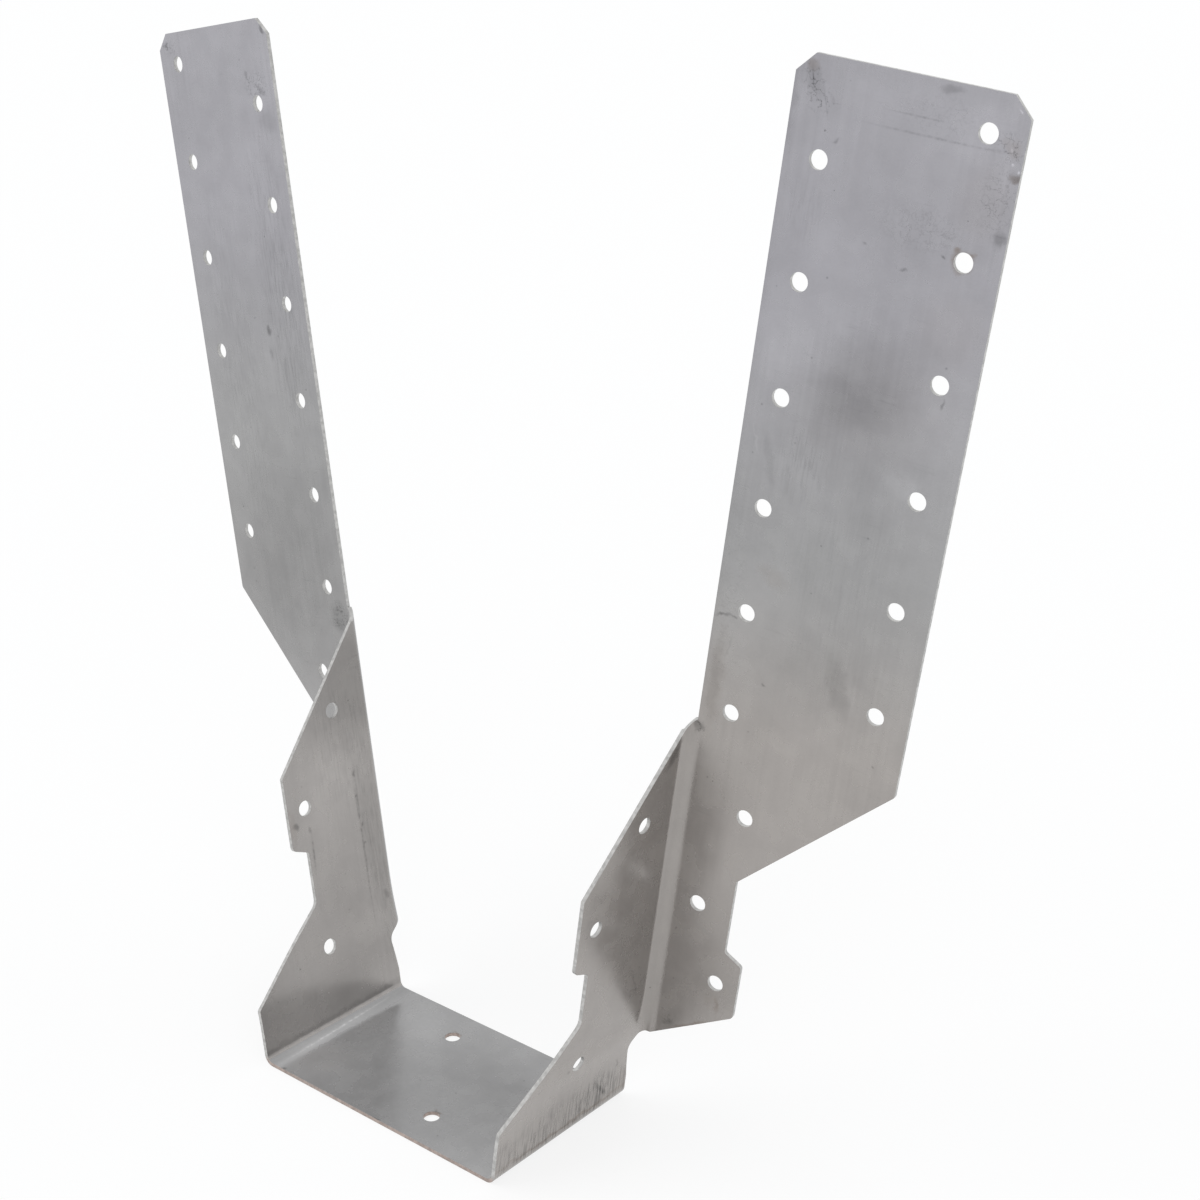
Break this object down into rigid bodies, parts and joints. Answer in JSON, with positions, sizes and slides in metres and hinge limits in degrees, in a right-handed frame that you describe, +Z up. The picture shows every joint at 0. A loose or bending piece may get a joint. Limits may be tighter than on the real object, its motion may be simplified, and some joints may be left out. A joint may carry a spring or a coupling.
{
  "type": "joist hanger",
  "caption": "Joist hanger folded from one stainless sheet: a seat between splayed cheeks, with tall nailing straps on its flanges.",
  "frame": {"origin": "centre of the seat's top face, where the joist's underside bears", "axes": "+X across the seat, +Y back towards the header, +Z up"},
  "size_m": [0.2538, 0.058, 0.254],
  "materials": {
    "sheet": "mill-finish stainless sheet, satin grey, faintly cloudy, with handling scuffs"
  },
  "bodies": {
    "root": {"hanger": "sheet"}
  },
  "joints": []
}
